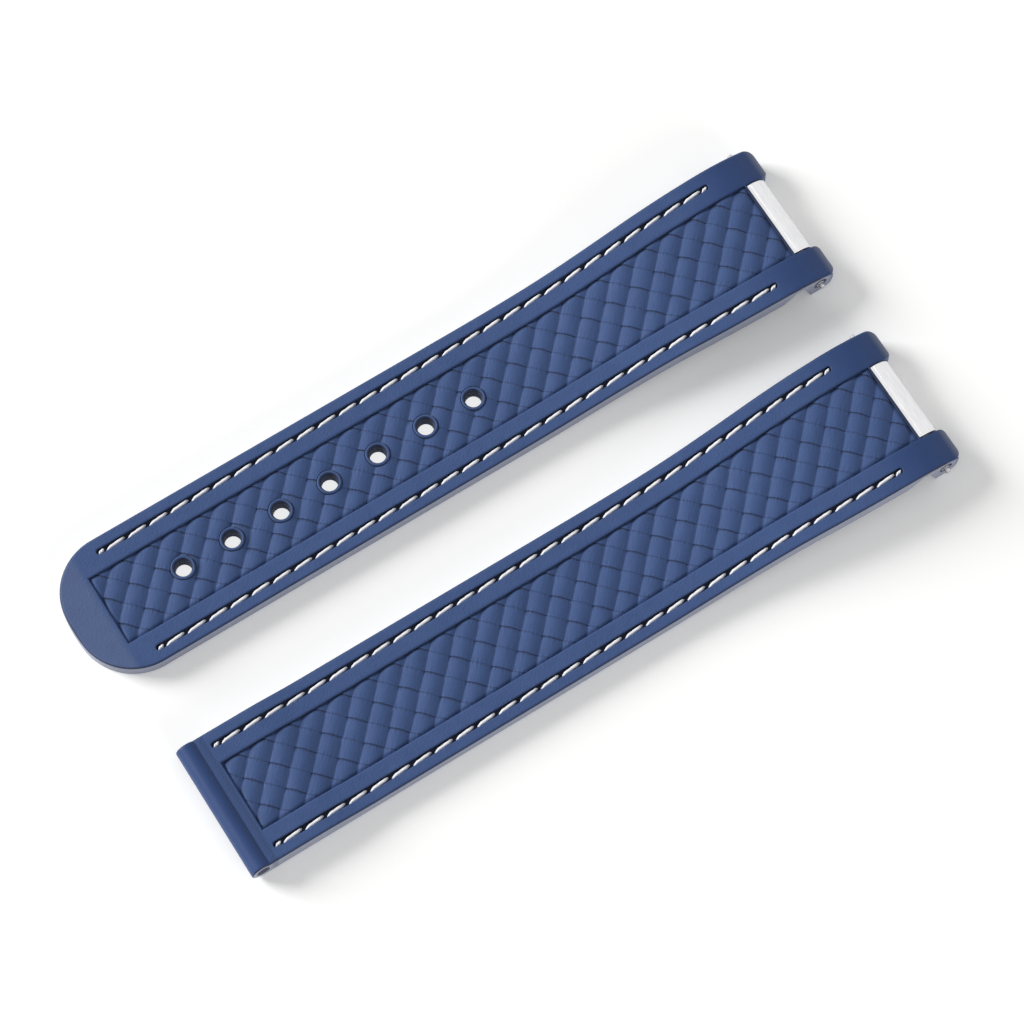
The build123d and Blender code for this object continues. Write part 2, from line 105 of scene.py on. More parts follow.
def side_reach(x, name, inset):
    """Half the strap's width less an inset; the tail is a 7.5 mm corner arc and a 20 mm tip arc."""
    x = np.asarray(x, float)
    reach = soft_step(x, 0, taper_run, lug_half, clasp_half) - inset
    if name == "hole":
        corner = corner_y + np.sqrt(np.clip((corner_r - inset) ** 2 - (x - corner_x) ** 2, 0, None))
        tip = np.sqrt(np.clip((tip_r - inset) ** 2 - (x - tip_x) ** 2, 0, None))
        on_tip = x < tip_x - tip_share * (tip_r - inset)
        reach = np.where(x < corner_x, np.where(on_tip, tip, corner), reach)
    return reach


def edge_drop(inset, radius):
    """How far a rounded edge has fallen at an inset from the side: a quarter circle."""
    left = np.clip(1 - np.asarray(inset, float) / radius, 0, 1)
    return radius * (1 - np.sqrt(1 - left**2))


def groove_middle(x):
    """Distance of the stitch groove from the centre line."""
    return soft_step(x, 0, taper_run, groove_lug_y, groove_clasp_y)


def panel_reach(x):
    """Half the width of the woven panel."""
    return soft_step(x, 0, taper_run, panel_lug_y, panel_clasp_y)


def panel_inside(x, y, name):
    """Distance from a place on the woven panel to its nearest edge."""
    return np.minimum(panel_reach(x) - np.abs(y), np.minimum(recess_end - x, x + panel_ends[name]))


# The groove's share of its depth at offsets from its middle, and the recess's depth inside its edge
groove_offs, groove_shares = np.array([
    [0, 1], [0.26, 0.98], [0.35, 0.86], [0.385, 0.5], [0.405, 0.12], [0.43, 0.03], [0.5, 0],
]).T
recess_offs, recess_drops = np.array([
    [-0.14, 0], [-0.07, 0.012], [0, 0.06], [0.02, 0.4], [0.06, recess_depth],
]).T


def groove_drop(x, y, depth):
    """Depth of the stitch grooves: a slot with round ends, a rounded lip and a rounded floor."""
    beyond = np.maximum(0, np.maximum(x + groove_start, -groove_end - x))
    off = np.hypot(np.abs(y) - groove_middle(x), beyond)
    return depth * np.interp(off, groove_offs, groove_shares)


def recess_drop(x, y, name):
    """Depth of the recess that takes the woven panel, with a fine rounded lip round it."""
    return np.interp(panel_inside(x, y, name), recess_offs, recess_drops)


# Lengthwise lines of the mesh: insets from the side, offsets from the groove's middle and from the
# panel's edge, and the even lines of the square windows that the holes are cut in
rim_insets = np.array([0, 0.02, 0.06, 0.12, 0.2, 0.3, 0.42])
groove_lips = groove_offs[:0:-1]
groove_offsets = np.concatenate([[0.6], groove_lips, [0.1, -0.1], -groove_lips[::-1], [-0.6]])
panel_offsets = np.concatenate([[0.4], -recess_offs, [-0.5]])
window, window_cells = 2.0, 10
window_lines = np.linspace(window, -window, window_cells + 1)
full_width_x, least_gap = -96, 0.012


def cross_lines(x, name):
    """The y of every lengthwise line at each x, from the +Y side to the -Y side, as (line, station)."""
    x = np.asarray(x, float)
    rims = np.array([side_reach(x, name, inset) for inset in rim_insets])
    limit = rims[-1]
    grooves = groove_middle(x) + groove_offsets[:, None]
    panels = panel_reach(x) + panel_offsets[:, None]
    middle = np.repeat(window_lines[: window_cells // 2, None], x.size, axis=1)
    half = np.vstack([grooves, panels, middle])
    wide = x > full_width_x
    share = (half[:, wide] / limit[wide]).max(axis=1)[:, None]
    half = np.vstack([rims, np.minimum(half, limit * share)])
    return np.vstack([half, np.zeros((1, x.size)), -half[::-1]])


def weld(name, sheets, material, smooth=35):
    """One closed mesh in metres from sheets of points and faces, welded where they meet."""
    points, faces, count = [], [], 0
    for sheet_points, sheet_faces in sheets:
        points.append(sheet_points)
        faces += (sheet_faces + count).tolist()
        count += len(sheet_points)
    mesh = bpy.data.meshes.new(name)
    mesh.from_pydata((np.concatenate(points) * mm).tolist(), [], faces)
    shell = bmesh.new()
    shell.from_mesh(mesh)
    bmesh.ops.remove_doubles(shell, verts=shell.verts, dist=2e-6)
    bmesh.ops.dissolve_degenerate(shell, edges=shell.edges, dist=1e-6)
    bmesh.ops.recalc_face_normals(shell, faces=shell.faces)
    shell.to_mesh(mesh)
    shell.free()
    mesh.polygons.foreach_set("use_smooth", np.ones(len(mesh.polygons), bool))
    mesh.set_sharp_from_angle(angle=math.radians(smooth))
    mesh.materials.append(material)
    piece = bpy.data.objects.new(name, mesh)
    bpy.context.scene.collection.objects.link(piece)
    return piece


def sheet(x, y, z, keep=None):
    """Points and four-sided faces of a grid of coordinates; keep says which cells stay."""
    rows, columns = x.shape
    points = np.stack([x, y, z], axis=-1).reshape(-1, 3)
    corner = np.arange(rows * columns).reshape(rows, columns)
    faces = np.stack([corner[:-1, :-1], corner[1:, :-1], corner[1:, 1:], corner[:-1, 1:]], axis=-1)
    return points, (faces[keep] if keep is not None else faces.reshape(-1, 4))


def hole_wall(circle, top, foot):
    """The upright wall of a hole, from a loop of x and y points."""
    return sheet(np.stack([circle[:, 0]] * 2), np.stack([circle[:, 1]] * 2), np.stack([top, foot]))


def bore_wall(circle, first_y, last_y):
    """The wall of a bore across the strap, from a loop of x and z points."""
    ys = np.stack([np.full(len(circle), first_y), np.full(len(circle), last_y)])
    return sheet(np.stack([circle[:, 0]] * 2), ys, np.stack([circle[:, 1]] * 2))


def facing(rim, centre, radius):
    """The points of a circle that face a rim's points from the circle's centre."""
    away = rim - centre
    return centre + away / np.linalg.norm(away, axis=1)[:, None] * radius


def ring_about(centre, xs, ys, radius):
    """Window border points in order, and the circle's points that face them from the centre."""
    border = np.concatenate([
        np.stack([xs, np.full(xs.size, ys[0])], 1),
        np.stack([np.full(ys.size - 1, xs[-1]), ys[1:]], 1),
        np.stack([xs[-2::-1], np.full(xs.size - 1, ys[-1])], 1),
        np.stack([np.full(ys.size - 1, xs[0]), ys[-2::-1]], 1),
    ])
    return border, facing(border, centre, radius)


def spokes(inner, outer, shares):
    """Rings of points from an inner to an outer loop, as (ring, point, axis)."""
    shares = np.asarray(shares, float)[:, None, None]
    return inner[None] * (1 - shares) + outer[None] * shares


def stations(name):
    """Places along the strap: close together at the grooves' ends, the recess's ends, the tail and holes."""
    groove_steps = np.linspace(-0.1, 0.55, 14)
    recess_steps = np.append(recess_offs, 0.3)
    fine = np.concatenate([
        -groove_start + groove_steps,
        -groove_end - groove_steps,
        recess_end - recess_steps,
        -panel_ends[name] + recess_steps,
        np.append(notch_xs, 0),
    ])
    bend = np.linspace(bend_start, bend_start - bend_run, 38)
    xs = [fine, np.linspace(-0.8, crown_start, 12), bend, np.linspace(-43.2, -92, 26)]
    if name == "hole":
        turn = np.radians(np.linspace(0, 82, 26))
        tip = tip_x - tip_r * np.cos(np.linspace(0.12, 0, 12))
        xs += [corner_x - corner_r * np.sin(turn), tip, -tail_reach + rim_insets[1:]]
        xs += [centre + window_lines for centre in hole_xs]
        xs = np.unique(np.round(np.concatenate(xs), 4))
        inside = np.zeros(xs.size, bool)
        for centre in hole_xs:
            from_lines = np.abs(xs[:, None] - centre - window_lines).min(1)
            inside |= (np.abs(xs - centre) < window + 0.15) & (from_lines > 1e-3)
        xs = xs[~inside]
        end = -tail_reach
    else:
        xs = np.unique(np.round(np.concatenate(xs + [np.array([roll_x])]), 4))
        end = roll_x
    xs = xs[xs >= end]
    xs = xs[np.append(np.diff(xs) > least_gap, True)]
    xs[0] = end
    return xs[::-1]


def window_sheets(x, y, keep):
    """Round each hole, faces from a square window of the grid in to the hole, and the hole's wall."""
    pieces = []
    first = len(y) // 2 - window_cells // 2
    for centre in hole_xs:
        near = int(np.abs(x - centre - window).argmin())
        keep[first:first + window_cells, near:near + window_cells] = False
        xs = x[near:near + window_cells + 1]
        ys = y[first:first + window_cells + 1, near]
        border, circle = ring_about(np.array([centre, 0]), xs, ys, hole_r)
        flat = spokes(circle, border, np.linspace(0, 1, 5) ** 1.3)
        for height in (face_height(flat[..., 0], "hole") - recess_depth, back_height(flat[..., 0])):
            pieces.append(sheet(flat[..., 0], flat[..., 1], height))
        top = face_height(circle[:, 0], "hole") - recess_depth
        pieces.append(hole_wall(circle, top, back_height(circle[:, 0])))
    return pieces


def horn_side(x, outer):
    """Distance of a horn's outer or inner side from the centre line, round its front corner."""
    radius = outer_corner if outer else inner_corner
    start = horn_front - radius
    arc = np.sqrt(np.clip(radius**2 - (x - start) ** 2, 0, None))
    if outer:
        return np.where(x > start, lug_half - radius + arc, lug_half)
    return np.where(x > start, horn_slot + radius - arc, horn_slot)


def horn_profile():
    """The horn's side profile as x and z: an ellipse down to the nose, its front, and a rounder belly."""
    turn = np.linspace(0, 1, 26)
    bent_x = horn_bend + (horn_front - horn_bend) * np.sin(turn[1:] * math.pi / 2)
    top_x = np.concatenate([[0, seat_zone], bent_x])
    top = np.stack([top_x, crown_height(top_x)], 1)
    low_x = bar_x + (horn_front - bar_x) * np.cos(turn[:-1] * math.pi / 2)
    low_x = np.concatenate([low_x, [bar_x, seat_zone, 0]])
    low_z = bar_z - bar_z * np.sqrt(1 - (np.clip(low_x - bar_x, 0, None) / belly_reach) ** 2)
    low = np.stack([low_x, low_z], 1)
    front = np.stack([np.full(4, horn_front), np.linspace(top[-1, 1], low[0, 1], 6)[1:-1]], 1)
    return np.concatenate([top, front, low]), len(top)


def horn_sheets(y, face, back):
    """Each horn is its side profile carried from the slot to the outer side, with flat, bored sides."""
    pieces = []
    slot = [int(np.abs(y[:, 0] - edge).argmin()) for edge in (horn_slot, -horn_slot)]
    down = np.linspace(0, 1, wall_lines)[:, None]
    seat = slice(slot[0], slot[1] + 1)
    heights = face[seat, 0] * (1 - down) + back[seat, 0] * down
    pieces.append(sheet(np.zeros_like(heights), np.stack([y[seat, 0]] * wall_lines), heights))

    loop, top_count = horn_profile()
    lean = np.stack([np.interp(loop[:, 0], [0, horn_front], [0, 0.9]), np.zeros(len(loop))], 1)
    out = loop - np.array([0.4, bar_z]) + lean
    out = out / np.linalg.norm(out, axis=1)[:, None]
    at_seat = loop[:, 0] < seat_zone + least_gap
    out[at_seat] = np.where(loop[at_seat][:, 1:] > bar_z, [0.0, 1.0], [0.0, -1.0])
    along = np.arange(len(loop))
    rounding = np.interp(along, [0, top_count + 2, along[-1]], [face_round, face_round, back_round])
    outer, inner = horn_side(loop[:, 0], True), horn_side(loop[:, 0], False)
    bore_centre = np.array([bar_x, bar_z])
    for sign, columns in ((1, slice(0, slot[0] + 1)), (-1, slice(slot[1], None))):
        marks = np.abs(y[columns, 0])
        share = (marks - horn_slot) / (lug_half - horn_slot)
        rows = inner + (outer - inner) * share[:, None]
        inset = np.minimum(lug_half - marks, far_inside)[:, None]
        soft = np.clip(loop[:, 0] / seat_zone, 0, 1)
        drop = edge_drop(inset, rounding) + edge_drop((marks - horn_slot)[:, None], back_round) * soft
        xs = loop[:, 0] - out[:, 0] * drop
        zs = loop[:, 1] - out[:, 1] * drop
        pieces.append(sheet(xs, sign * rows, zs))
        circles = []
        for line, is_outer in ((int(share.argmax()), True), (int(share.argmin()), False)):
            edge = outer if is_outer else inner
            column = np.arange(len(y))[columns][line]
            post_z = (face[column, 0] * (1 - down) + back[column, 0] * down)[::-1, 0]
            rim_x = np.concatenate([xs[line], np.zeros(wall_lines - 2), xs[line][:1]])
            rim_z = np.concatenate([zs[line], post_z[1:-1], zs[line][:1]])
            rim = np.stack([rim_x, rim_z], 1)
            circle = facing(rim, bore_centre, bar_bore)
            disc = spokes(circle, rim, [0, 0.15, 0.5, 0.85, 1])
            reach = horn_side(disc[..., 0], is_outer)
            reach[-1] = np.concatenate([edge, np.full(wall_lines - 2, reach[0, 0]), edge[:1]])
            pieces.append(sheet(disc[..., 0], sign * reach, disc[..., 1]))
            circles.append((circle, sign * reach[0]))
        bore = np.stack([circles[0][0], circles[1][0]])
        pieces.append(sheet(bore[..., 0], np.stack([circles[0][1], circles[1][1]]), bore[..., 1]))
    return pieces


def bead_sheets(y, face, back, rim_start):
    """The rolled end is its own profile round the bore, carried across the strap, with bored ends."""
    pieces = []
    above = math.degrees(math.acos(crease_reach / bead_r))
    arc = np.radians(np.concatenate([np.linspace(above - 4, 90, 9), np.linspace(98, 270, 30)]))
    round_part = np.stack([bead_x + bead_r * np.cos(arc), bead_r + bead_r * np.sin(arc)], 1)
    crease = [[roll_x, roll_top], [-94.4, 2.69], [-94.75, 2.67]]
    loop = np.concatenate([crease, round_part, [[-94.8, 0], [roll_x, 0]]])
    out = np.concatenate([[[0, 1]] * 3, np.stack([np.cos(arc), np.sin(arc)], 1), [[0, -1]] * 2])
    rounding = np.interp(np.arange(len(loop)), [0, 8, len(loop) - 1], [face_round, 0.25, back_round])
    drop = edge_drop(rim_start, rounding)
    xs, zs = loop[:, 0] - out[:, 0] * drop, loop[:, 1] - out[:, 1] * drop
    pieces.append(sheet(xs, np.repeat(y[:, -1:], len(loop), axis=1), zs))
    down = np.linspace(0, 1, wall_lines)[:, None]
    for line, sign in ((0, 1), (-1, -1)):
        post_z = (face[line, -1] * (1 - down) + back[line, -1] * down)[::-1, 0]
        rim_x = np.concatenate([xs[line], np.full(wall_lines - 2, roll_x), xs[line][:1]])
        rim_z = np.concatenate([zs[line], post_z[1:-1], zs[line][:1]])
        rim = np.stack([rim_x, rim_z], 1)
        circle = facing(rim, np.array([bead_x, bead_r]), bead_bore)
        disc = spokes(circle, rim, [0, 0.2, 0.6, 1])
        pieces.append(sheet(disc[..., 0], np.full(disc.shape[:2], sign * clasp_half), disc[..., 1]))
        pieces.append(bore_wall(circle, sign * clasp_half, 0.0))
    return pieces


def strap_sheets(name):
    """The moulding as sheets: the holes, the face, back and sides, the horns, and the rolled end."""
    x = stations(name)
    y = cross_lines(x, name)
    lines, count = y.shape
    x_grid = np.repeat(x[None], lines, axis=0)
    rim = np.full((lines, count), far_inside)
    rim[: rim_insets.size] = rim_insets[:, None]
    rim[-rim_insets.size:] = rim_insets[::-1, None]
    if name == "hole":
        rim = np.minimum(rim, np.maximum(x_grid + tail_reach, 0))
    face = face_height(x_grid, name) - edge_drop(rim, face_round)
    face -= groove_drop(x_grid, y, groove_depth) + recess_drop(x_grid, y, name)
    back = back_height(x_grid) + edge_drop(rim, back_round) + groove_drop(x_grid, y, back_depth)
    keep = np.ones((lines - 1, count - 1), bool)
    pieces = window_sheets(x, y, keep) if name == "hole" else []
    pieces += [sheet(x_grid, y, face, keep), sheet(x_grid, y, back, keep)]
    down = np.linspace(0, 1, wall_lines)[:, None]
    for side in (0, -1):
        heights = face[side] * (1 - down) + back[side] * down
        pieces.append(sheet(np.stack([x] * wall_lines), np.stack([y[side]] * wall_lines), heights))
    pieces += horn_sheets(y, face, back)
    if name == "clasp":
        pieces += bead_sheets(y, face, back, rim[:, :1])
    return pieces


def placed(sheets, name):
    """The same sheets moved to the strap's seat."""
    offset = np.array([seats[name][0], seats[name][1], 0])
    return [(points + offset, faces) for points, faces in sheets]


def linear(code):
    """A sRGB hex colour as linear red, green, blue and alpha."""
    parts = np.array([int(code[i:i + 2], 16) for i in (1, 3, 5)]) / 255
    light = np.where(parts <= 0.04045, parts / 12.92, ((parts + 0.055) / 1.055) ** 2.4)
    return tuple(light.tolist()) + (1.0,)


def put(tree, kind, inputs=(), **settings):
    """Adds a node, sets its properties, and links or sets its named or numbered inputs."""
    node = tree.nodes.new(kind)
    for key, value in settings.items():
        setattr(node, key, value)
    for key, value in dict(inputs).items():
        if isinstance(value, bpy.types.NodeSocket):
            tree.links.new(value, node.inputs[key])
        else:
            node.inputs[key].default_value = value
    return node


def new_material(name):
    """An empty node material and its tree."""
    material = bpy.data.materials.new(name)
    material.use_nodes = True
    material.node_tree.nodes.clear()
    return material, material.node_tree


# Moulded silicone rubber with a fine leather grain, 0.2 mm across, from the mould: matt, IOR 1.43. The
# eye sees a soft sheen, a slight mottling of the navy, smoother horns and bead (horn), and paler side
# walls (wall). Painted light is mixed into the colour: a deeper blue on the horns and the bead is
# painted shade (horn), each horn's nose is painted lighter with the walls' colour as a highlight (wall),
# and painted shade, near black, fills the grooves, the panel's recess, the holes, the bead's crease, the
# link seat's lip and a line along the top edge of the sides (painted_shade).
grains_a_mm, pores_a_mm, mottles_a_mm, grain_depth = 5.0, 5.2, 0.42, 0.1
rubber, tree = new_material("moulded_silicone_rubber")
place = put(tree, "ShaderNodeTexCoord").outputs["Object"]
grain = put(tree, "ShaderNodeTexVoronoi", {"Vector": place, "Scale": grains_a_mm / mm}, feature="SMOOTH_F1")
pores = put(tree, "ShaderNodeTexNoise", {"Vector": place, "Scale": pores_a_mm / mm, "Detail": 3.0})
relief = put(tree, "ShaderNodeMath", {
    0: grain.outputs["Distance"], 1: pores.outputs["Fac"],
}, operation="ADD")
# The horn mark paints a deeper blue on the horns and the bead, as shade, and makes them smoother and
# glossier.
horn = put(tree, "ShaderNodeAttribute", attribute_name="horn").outputs["Fac"]
smooth = put(tree, "ShaderNodeMapRange", {"Value": horn, "From Max": 0.6, "To Min": 0.36, "To Max": 0.14})
bump = put(tree, "ShaderNodeBump", {
    "Height": relief.outputs[0], "Strength": smooth.outputs["Result"], "Distance": grain_depth * mm,
})
mottle = put(tree, "ShaderNodeTexNoise", {
    "Vector": place, "Scale": mottles_a_mm / mm, "Detail": 4.0, "Roughness": 0.6,
})
navy = put(tree, "ShaderNodeMix", {
    "Factor": mottle.outputs["Fac"], 6: linear("#314876"), 7: linear("#3E5786"),
}, data_type="RGBA")
navy = put(tree, "ShaderNodeMix", {
    "Factor": horn, 6: navy.outputs[2], 7: linear("#00295C"),
}, data_type="RGBA")
# The wall mark also paints a highlight on the front of each horn's nose.
wall = put(tree, "ShaderNodeAttribute", attribute_name="wall").outputs["Fac"]
navy = put(tree, "ShaderNodeMix", {
    "Factor": wall, 6: navy.outputs[2], 7: linear("#8F94A6"),
}, data_type="RGBA")
# Painted shade: near black mixed into the colour in the grooves, the panel's recess, the holes, the bead's
# crease, the link seat's lip and along the top edge of the sides.
painted_shade = put(tree, "ShaderNodeAttribute", attribute_name="painted_shade").outputs["Fac"]
painted_shade = put(tree, "ShaderNodeMath", {0: painted_shade, 1: 0.85}, operation="MULTIPLY")
navy = put(tree, "ShaderNodeMix", {
    "Factor": painted_shade.outputs[0], 6: navy.outputs[2], 7: linear("#0C1020"),
}, data_type="RGBA")
rough = put(tree, "ShaderNodeMapRange", {"Value": pores.outputs["Fac"], "To Min": 0.62, "To Max": 0.8})
rough = put(tree, "ShaderNodeMath", {
    0: horn, 1: -0.38, 2: rough.outputs["Result"],
}, operation="MULTIPLY_ADD")
shader = put(tree, "ShaderNodeBsdfPrincipled", {
    "Base Color": navy.outputs[2], "Roughness": rough.outputs[0], "IOR": 1.43,
    "Normal": bump.outputs["Normal"], "Specular IOR Level": 0.38,
    "Sheen Weight": 0.12, "Sheen Roughness": 0.5,
})
put(tree, "ShaderNodeOutputMaterial", {"Surface": shader.outputs[0]})


def strap_places(mesh, name):
    """Every vertex of a finished mesh in millimetres from its strap's seat, as x, y and z."""
    flat = np.empty(len(mesh.vertices) * 3)
    mesh.vertices.foreach_get("co", flat)
    places = flat.reshape(-1, 3) / mm - np.array([seats[name][0], seats[name][1], 0])
    return places[:, 0], places[:, 1], places[:, 2]


def mark(mesh, name, values):
    """Keeps one number for each vertex under a name, for the material to read."""
    mesh.attributes.new(name, "FLOAT", "POINT").data.foreach_set("value", values.astype(np.float32))


# Where each look begins and ends, in millimetres from the seat, and how strong it is there
pad_xs, pad_wall = [-96.6, -95.9], 0.13
bead_start, bead_shade_and_gloss = -94.4, 0.6
crease_xs, crease_shade = [-94.6, -94.2, roll_x, -93.6], [0, 0.45, 0.35, 0]
hole_gap, hole_floor, hole_shade = 0.05, 0.05, 0.95
face_groove_floor, back_groove_top = 0.8, 0.6
lip_half, lip_start, lip_drop, lip_shade = 5.4, -0.25, 0.6, 0.75
rim_shade_insets, rim_shade_levels, rim_shade_drop, rim_shade_end = [0.01, 0.02, 0.12, 0.2], [0, 0.85, 0.75, 0], 0.5, 1
nose_xs, nose_zs, nose_painted_highlight = [2.4, 3.3], [0.6, 2.6], 0.45
horn_xs, horn_least_z, horn_share = [-9, -1], 2.5, 0.65
wall_line = 0.015

for name in seats:
    strap = weld(f"{name}_strap_moulding", placed(strap_sheets(name), name), rubber)
    x, y, z = strap_places(strap.data, name)
    above_back, below_face = z - back_height(x), face_height(x, name) - z
    # Painted shade in the grooves, the recess round the panel and the holes, where little light reaches.
    groove = groove_drop(x, y, 1.0)
    painted_shade = np.maximum(groove, recess_drop(x, y, name) / recess_depth) * (above_back > face_groove_floor)
    painted_shade = np.maximum(painted_shade, groove * (above_back < back_groove_top)) * (np.abs(y) < side_reach(x, name, 0.5))
    inset = side_reach(x, name, 0) - np.abs(y)
    if name == "hole":
        from_corner = corner_r - np.hypot(x - corner_x, np.maximum(np.abs(y) - corner_y, 0))
        from_tip = tip_r - np.hypot(x - tip_x, y)
        inset = np.where(x < tip_joins_x, from_tip, np.where(x < corner_x, from_corner, inset))
        pad = pad_wall * np.interp(x, pad_xs, [1, 0])
        bead = np.zeros(x.size)
        from_hole = np.hypot(np.abs(x[:, None] - np.array(hole_xs)).min(1), y)
        painted_shade = np.maximum(painted_shade, hole_shade * (from_hole < hole_r + hole_gap) * (above_back > hole_floor))
    else:
        pad = np.zeros(x.size)
        bead = bead_shade_and_gloss * (x < bead_start)
        painted_shade = np.maximum(painted_shade, np.interp(x, crease_xs, crease_shade))
    # Painted shade at the link seat's lip, and a painted shade line along the top edge of the sides.
    seat_lip = (np.abs(y) < lip_half) * (x > lip_start) * (below_face < lip_drop)
    rim_shade = np.interp(inset, rim_shade_insets, rim_shade_levels)
    rim_shade *= (below_face < rim_shade_drop) * (x < rim_shade_end)
    # Each horn's nose is painted lighter with the side walls' colour, a painted highlight.
    nose = nose_painted_highlight * np.interp(x, nose_xs, [0, 1]) * np.interp(z, nose_zs, [0, 1])
    # Horn tops: a deeper blue as painted shade, with a smoother, glossier finish.
    horn_top_shade_and_gloss = horn_share * np.interp(x, horn_xs, [0, 1]) * (z > horn_least_z)
    mark(strap.data, "painted_shade", np.clip(np.maximum(np.maximum(painted_shade, lip_shade * seat_lip), rim_shade), 0, 1))
    mark(strap.data, "wall", np.clip(np.maximum(1 - inset / wall_line, np.maximum(nose, pad)), 0, 1))
    mark(strap.data, "horn", np.maximum(bead, horn_top_shade_and_gloss))
    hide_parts(f"{name}_strap")
    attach(strap, "straps")

# Woven panel: a skin of the same rubber set in the recess, moulded from a real plait. Flat bands run
# across it at a slant, each crowned like a leather lace, and cuts across them mark where one would
# pass under the next. Seven holes go through the hole strap's panel, each inside a raised ring.
weave_along, weave_across = 3.61, 3.77
weave_starts = {"hole": 3.45, "clasp": 3.63}
crest_drop, crown_depth, least_dip, deep_dip = 0.10, 0.26, 0.05, 0.12
dip_parts, dip_shares, lip_parts = [0.72, 0.9, 1], [0, 0.45, 1], [0, 0.05]
border_dip, border_insets, border_shares = 0.2, [0, 0.12, 0.45], [1, 0.7, 0]
far_side_dip, far_side_insets, far_side_shares = 0.08, [0, 0.25, 0.7], [1, 0.6, 0]
panel_foot, least_skin, ring_moat = 0.67, 0.03, 1.63
panel_end_gap, panel_side_gap, least_end_cell = 0.005, 0.012, 0.05
first_station, last_station = -309, 368
steps_a_pitch, window_half_steps, outer_lines, across_step = 49, 14, 22, 0.14


def band_places(x, y, name):
    """Places counted in bands: across them, and along them in cuts. A whole number is a valley or a cut."""
    run = (x + weave_starts[name]) / weave_along
    return run - y / weave_across, run + y / weave_across


def weave_drop(x, y, name):
    """Depth of the plait: a crown across each band, whose far end dips under the next band's lip."""
    across, along = band_places(x, y, name)
    crown = 1 - 4 * (across % 1) * (1 - across % 1)
    part = along % 1
    next_deep = (np.floor(along) + 1 - np.floor(across)) % 2
    last_deep = (np.floor(along) - np.floor(across)) % 2
    dip = (least_dip + deep_dip * next_deep) * np.interp(part, dip_parts, dip_shares)
    dip += (least_dip + deep_dip * last_deep) * np.interp(part, lip_parts, [1, 0])
    border = border_dip * np.interp(panel_inside(x, y, name), border_insets, border_shares)
    far_side = far_side_dip * np.interp(panel_reach(x) - y, far_side_insets, far_side_shares)
    drop = crest_drop + crown_depth * crown**0.9 + dip + border + far_side
    return np.minimum(drop, panel_foot - least_skin)


def panel_sheets(name):
    """The panel as a closed skin: woven face, plain back, edges, and windows round the holes."""
    span, first = 2 * window_half_steps, outer_lines
    last = first + span
    ends = np.array([recess_end - panel_end_gap, -panel_ends[name] + panel_end_gap])
    x = first_hole - hole_pitch / steps_a_pitch * np.arange(first_station, last_station + 1)
    between = (x < ends[0] - least_end_cell) & (x > ends[1] + least_end_cell)
    x = np.concatenate([ends[:1], x[between], ends[1:]])
    middle = np.linspace(window_half_steps, -window_half_steps, span + 1) * across_step
    edge = panel_reach(x) - panel_side_gap
    outer = middle[0] + (edge - middle[0]) * np.linspace(1, 0, outer_lines + 1)[:-1, None]
    y = np.vstack([outer, np.repeat(middle[:, None], x.size, 1), -outer[::-1]])
    x_grid = np.repeat(x[None], len(y), 0)
    face = face_height(x_grid, name) - weave_drop(x_grid, y, name)
    back_y = np.vstack([y[:1], y[first:last + 1], y[-1:]])
    foot = face_height(x, name) - panel_foot
    back = np.repeat(foot[None], len(back_y), 0)
    keep = np.ones((len(y) - 1, x.size - 1), bool)
    back_keep = np.ones((len(back_y) - 1, x.size - 1), bool)
    pieces = []
    for centre in hole_xs if name == "hole" else []:
        near = int(np.abs(x - centre).argmin()) - window_half_steps
        keep[first:last, near:near + span] = False
        back_keep[1:span + 1, near:near + span] = False
        border, circle = ring_about(np.array([centre, 0]), x[near:near + span + 1], middle, ring_moat)
        flat = spokes(circle, border, np.linspace(0, 1, 6))
        drop = weave_drop(flat[..., 0], flat[..., 1], name)
        for depth in (drop, panel_foot):
            pieces.append(sheet(flat[..., 0], flat[..., 1], face_height(flat[..., 0], name) - depth))
        top = face_height(circle[:, 0], name)
        pieces.append(hole_wall(circle, top - drop[0], top - panel_foot))
    pieces += [sheet(x_grid, y, face, keep), sheet(x_grid[:len(back_y)], back_y, back, back_keep)]
    for side in (0, -1):
        pieces.append(sheet(np.stack([x] * 2), np.stack([y[side]] * 2), np.stack([face[side], foot])))
    for end in (0, -1):
        rows = slice(first, last + 1)
        heights = np.stack([face[rows, end], back[1:span + 2, end]], 1)
        pieces.append(sheet(x_grid[rows, [end, end]], y[rows, [end, end]], heights))
        for part in (slice(0, first + 1), slice(last, None)):
            rim_y, rim_z = y[part, end], face[part, end]
            corner_y = np.concatenate([rim_y, rim_y[[-1, 0]]])
            corner_z = np.concatenate([rim_z, np.full(2, foot[end])])
            points = np.stack([np.full(corner_y.size, x[end]), corner_y, corner_z], 1)
            pieces.append((points, np.arange(corner_y.size)[None]))
    return pieces


# The panel's rubber is the straps' own. Fine draw lines run along each band, strongest by the cuts,
# and the cuts and valleys are painted darker, as shade, because they are too narrow for light to reach their
# floor.
lines_a_band, breaks_a_cut, plait_depth = 9.0, 1.3, 0.14
woven, tree = new_material("moulded_silicone_plait")
place = put(tree, "ShaderNodeTexCoord").outputs["Object"]
across = put(tree, "ShaderNodeAttribute", attribute_name="across_bands").outputs["Fac"]
along = put(tree, "ShaderNodeAttribute", attribute_name="along_bands").outputs["Fac"]
near_cut = put(tree, "ShaderNodeMath", {0: along, 1: 0.5}, operation="ADD")
near_cut = put(tree, "ShaderNodeMath", {0: near_cut.outputs[0]}, operation="FLOOR")
band = put(tree, "ShaderNodeMath", {0: across}, operation="FLOOR")
odd = put(tree, "ShaderNodeMath", {0: near_cut.outputs[0], 1: band.outputs[0]}, operation="SUBTRACT")
odd = put(tree, "ShaderNodeMath", {0: odd.outputs[0], 1: 2.0}, operation="FLOORED_MODULO")
part = put(tree, "ShaderNodeMath", {0: along}, operation="FRACT")
